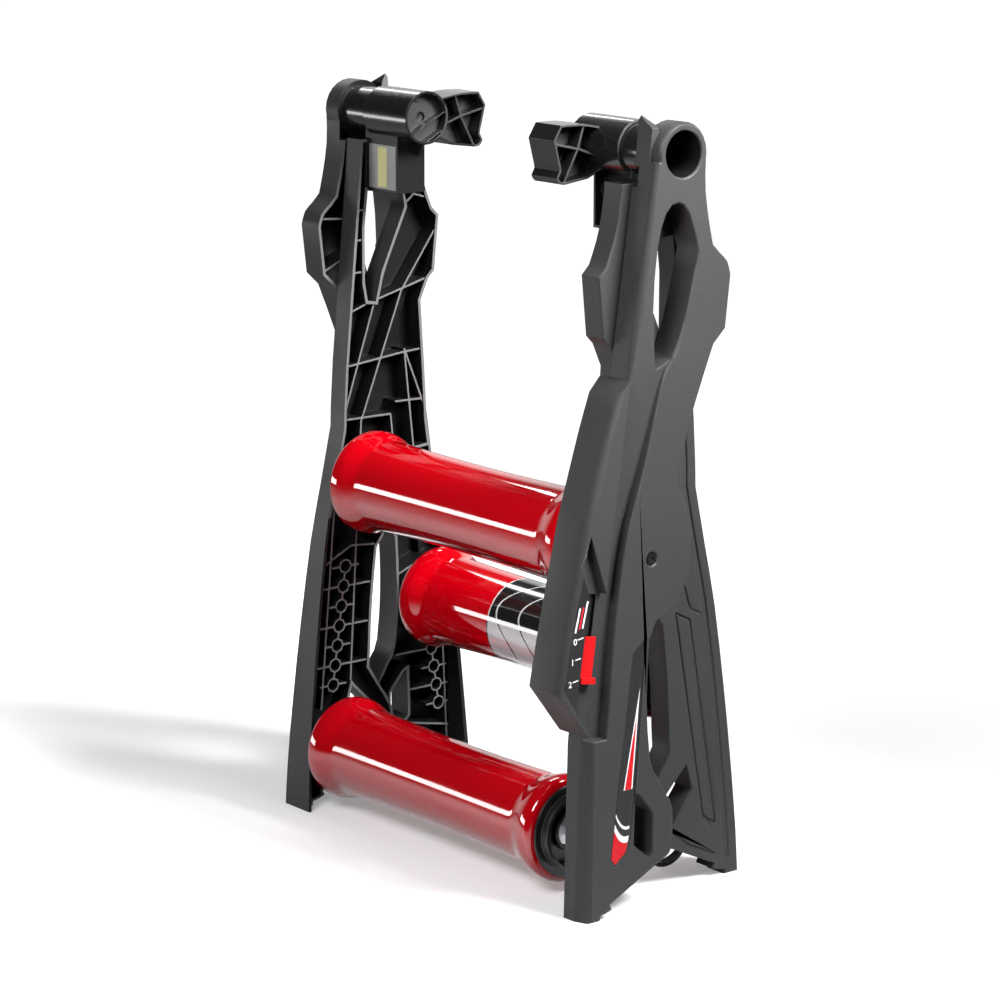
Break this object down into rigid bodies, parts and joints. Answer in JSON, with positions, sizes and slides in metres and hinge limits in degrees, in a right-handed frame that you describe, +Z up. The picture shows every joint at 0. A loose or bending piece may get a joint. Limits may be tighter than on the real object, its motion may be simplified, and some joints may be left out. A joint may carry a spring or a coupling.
{
  "type": "folding bike rollers",
  "caption": "Folding bicycle training rollers with contoured drums between moulded ribbed side beams, a magnetic resistance unit and a drive belt, standing folded.",
  "frame": {"origin": "centre of the footprint of the folded rollers, on the floor", "axes": "+Z up from the feet to the fold joint, +Y towards the front frame, +X along the drums towards the resistance unit"},
  "size_m": [0.493, 0.2428, 0.7096],
  "materials": {
    "frame_plastic": "fine-textured moulded charcoal plastic",
    "cap_black": "smooth moulded black plastic",
    "drum_red": "glossy red coating",
    "slider_red": "smooth moulded red plastic",
    "bare_steel": "bright turned steel",
    "screw_black": "blackened steel",
    "disc_alloy": "turned bright aluminium",
    "magnet_nickel": "nickel plating",
    "belt_black": "elastic black belt"
  },
  "bodies": {
    "rear_frame": {"rear_beam_left": "frame_plastic", "rear_beam_right": "frame_plastic", "resistance_housing": "frame_plastic", "pivot_screw_left": "bare_steel", "top_drum_axle": "bare_steel", "top_drum_spacer_left": "bare_steel", "top_drum_spacer_right": "bare_steel", "top_drum_screw_left": "screw_black", "rear_drum_axle": "bare_steel", "rear_drum_spacer_left": "bare_steel", "rear_drum_spacer_right": "bare_steel", "rear_drum_screw_left": "screw_black", "top_drum_screw_right": "screw_black"},
    "front_frame": {"front_beam_left": "frame_plastic", "front_beam_right": "frame_plastic", "pivot_screw_right": "bare_steel", "drive_belt": "belt_black", "front_drum_axle": "bare_steel", "front_drum_spacer_left": "bare_steel", "front_drum_spacer_right": "bare_steel", "front_drum_screw_left": "screw_black"},
    "top_drum": {"brake_disc": "disc_alloy", "top_drum_tube": "drum_red", "top_drum_cap_left": "cap_black", "top_drum_cap_right": "cap_black", "top_drum_bearing_left": "bare_steel", "top_drum_bearing_right": "bare_steel"},
    "rear_drum": {"rear_drum_tube": "drum_red", "rear_drum_cap_left": "cap_black", "rear_drum_cap_right": "cap_black", "rear_drum_bearing_left": "bare_steel", "rear_drum_bearing_right": "bare_steel"},
    "front_drum": {"front_drum_tube": "drum_red", "front_drum_cap_left": "cap_black", "front_drum_cap_right": "cap_black", "front_drum_bearing_left": "bare_steel", "front_drum_bearing_right": "bare_steel"},
    "magnet_slide": {"resistance_slider": "slider_red", "magnet_carrier": "cap_black", "brake_magnet_1": "magnet_nickel", "brake_magnet_2": "magnet_nickel"}
  },
  "joints": [
    {"name": "fold", "type": "hinge", "parent": "rear_frame", "child": "front_frame", "pos_m": [0, 0.01515, 0.6765], "axis": [1, 0, 0], "range_deg": [0, 164]},
    {"name": "top_drum_spin", "type": "hinge", "parent": "rear_frame", "child": "top_drum", "pos_m": [0, -0.01664, 0.32269], "axis": [1, 0, 0], "continuous": true},
    {"name": "rear_drum_spin", "type": "hinge", "parent": "rear_frame", "child": "rear_drum", "pos_m": [0, -0.04573, 0.06122], "axis": [1, 0, 0], "continuous": true},
    {"name": "front_drum_spin", "type": "hinge", "parent": "front_frame", "child": "front_drum", "pos_m": [0, 0.06555, 0.19585], "axis": [1, 0, 0], "continuous": true},
    {"name": "resistance_setting", "type": "slide", "parent": "rear_frame", "child": "magnet_slide", "axis": [0, 0.1394, 0.9902], "range_m": [0, 0.04]}
  ]
}
